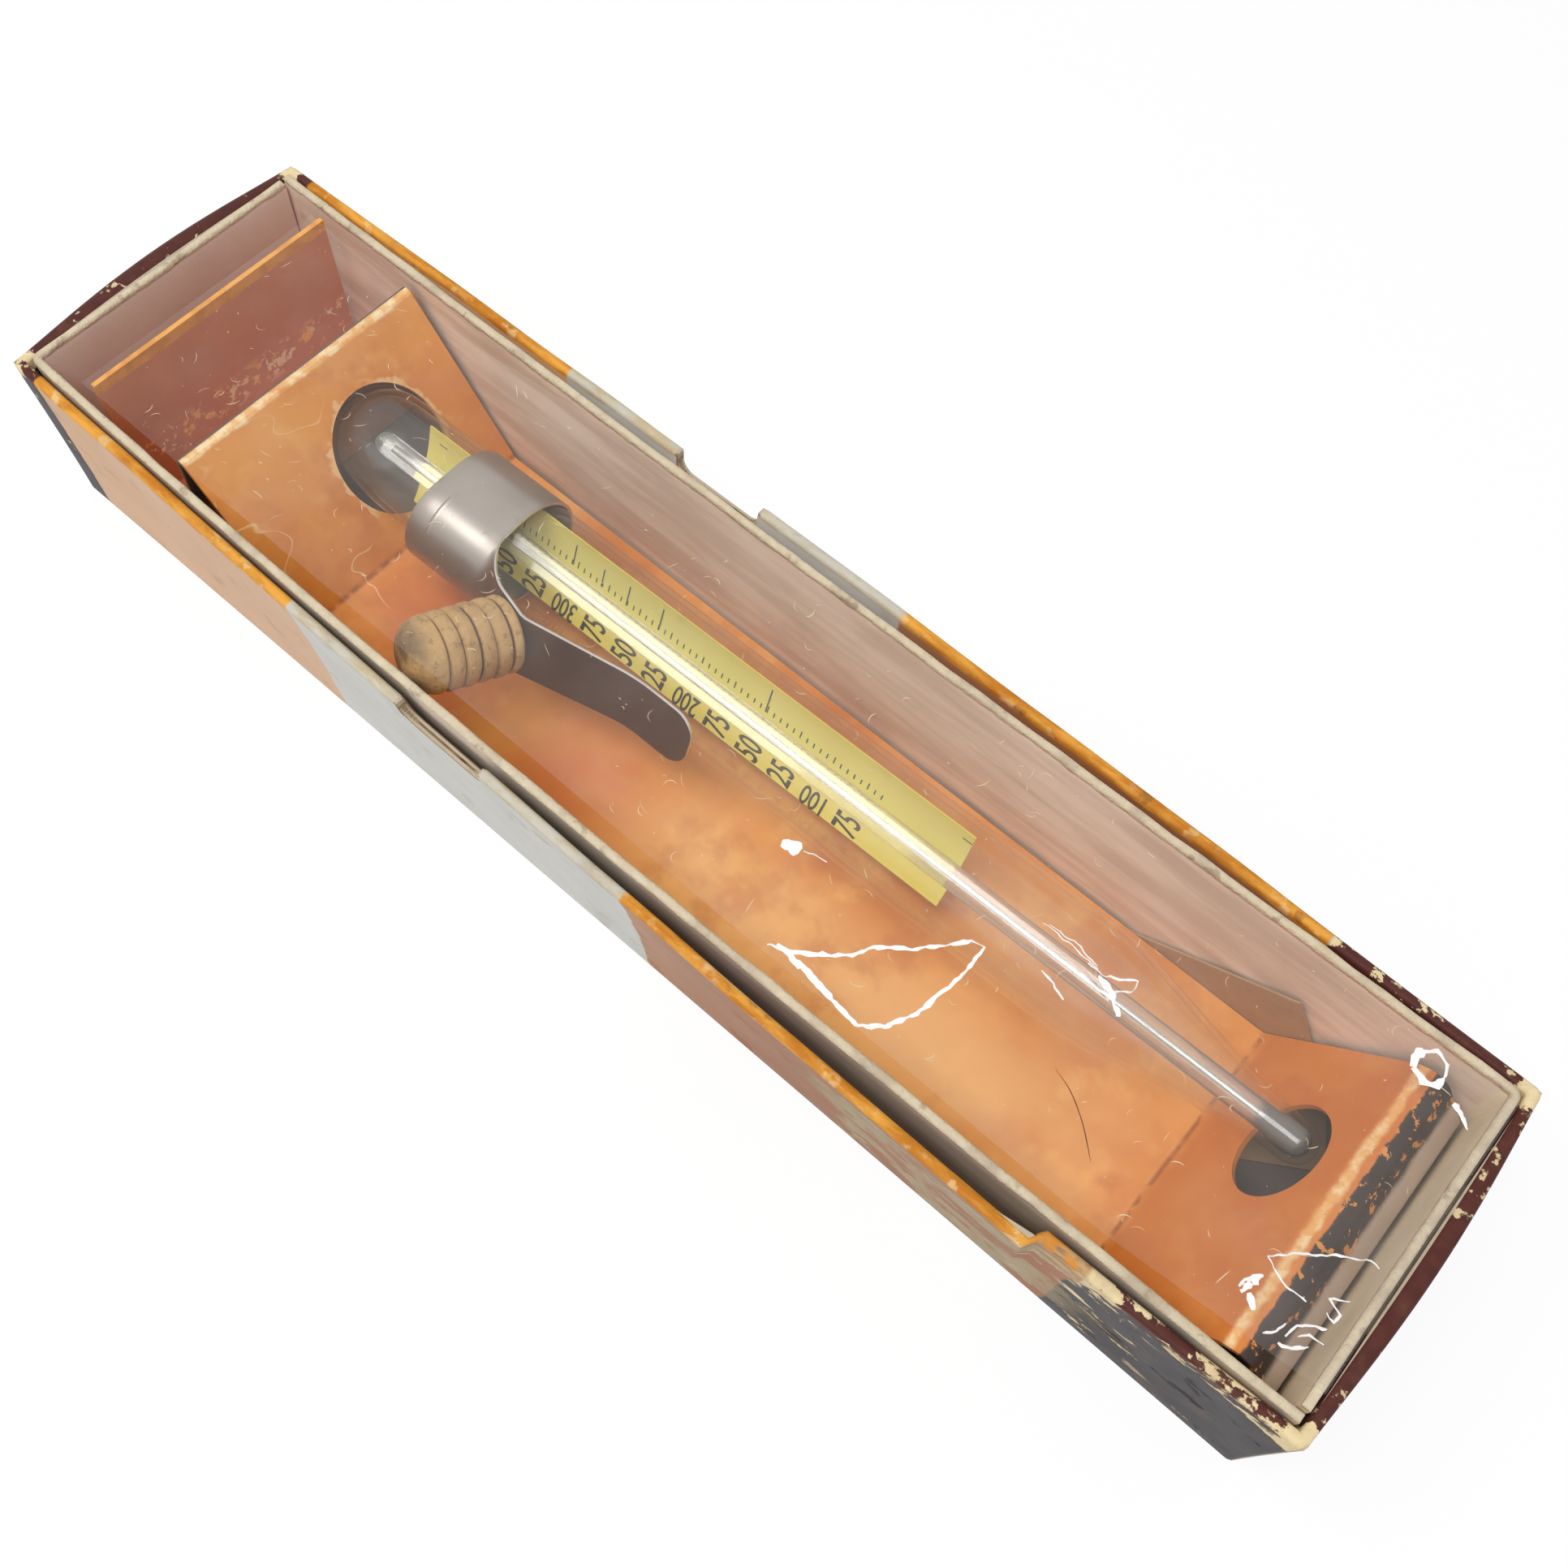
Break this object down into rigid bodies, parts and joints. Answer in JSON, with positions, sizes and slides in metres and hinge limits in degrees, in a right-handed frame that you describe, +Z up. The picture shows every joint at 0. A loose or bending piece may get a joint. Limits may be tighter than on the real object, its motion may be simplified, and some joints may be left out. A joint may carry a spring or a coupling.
{
  "type": "boxed kitchen thermometer",
  "caption": "Glass jacketed kitchen thermometer with a pan clip and a turned wood grip, held by a folded card insert in the lower half of its worn set-up box.",
  "frame": {"origin": "middle of the underside of the outer box", "axes": "X along the box from the thermometer's dome to its bulb, Y across the box away from the wood grip, Z up"},
  "size_m": [0.25, 0.0643, 0.0358],
  "materials": {
    "grey_board": "raw grey board",
    "printed_wrap": "printed paper, worn, slightly glossy",
    "tray_board": "raw brown board, stained",
    "orange_card": "printed card, mottled, worn at the folds",
    "leaflet_paper": "aged matte paper",
    "clear_film": "clear crumpled film",
    "jacket_glass": "clear glass",
    "stem_glass": "clear glass",
    "mercury": "liquid metal",
    "scale_paper": "printed yellow card",
    "clip_steel": "dull plated sheet",
    "grip_wood": "turned wood, dirty in the grooves",
    "screw_steel": "dull steel"
  },
  "bodies": {
    "outer_box": {"outer_board": "grey_board", "outer_wrap": "printed_wrap"},
    "tray": {"tray_board": "tray_board", "leaflet": "leaflet_paper"},
    "insert": {"insert_card": "orange_card"},
    "film": {"film_cover": "clear_film"},
    "thermometer": {"glass_jacket": "jacket_glass", "stem_tube": "stem_glass", "mercury": "mercury", "scale_card": "scale_paper"},
    "clip": {"pan_clip": "clip_steel", "wood_grip": "grip_wood", "grip_screw": "screw_steel"}
  },
  "joints": [
    {"name": "tray_lift", "type": "slide", "parent": "outer_box", "child": "tray", "axis": [0, 0, 1], "range_m": [0, 0.04]},
    {"name": "insert_lift", "type": "slide", "parent": "tray", "child": "insert", "axis": [0, 0, 1], "range_m": [0, 0.036]},
    {"name": "film_lift", "type": "slide", "parent": "insert", "child": "film", "axis": [0, 0, 1], "range_m": [0, 0.016]},
    {"name": "thermometer_play", "type": "slide", "parent": "insert", "child": "thermometer", "axis": [0.9999, 0.0122, 0], "range_m": [0, 0.002]},
    {"name": "clip_slide", "type": "slide", "parent": "thermometer", "child": "clip", "axis": [0.9999, 0.0122, 0], "range_m": [-0.006, 0.078]}
  ]
}
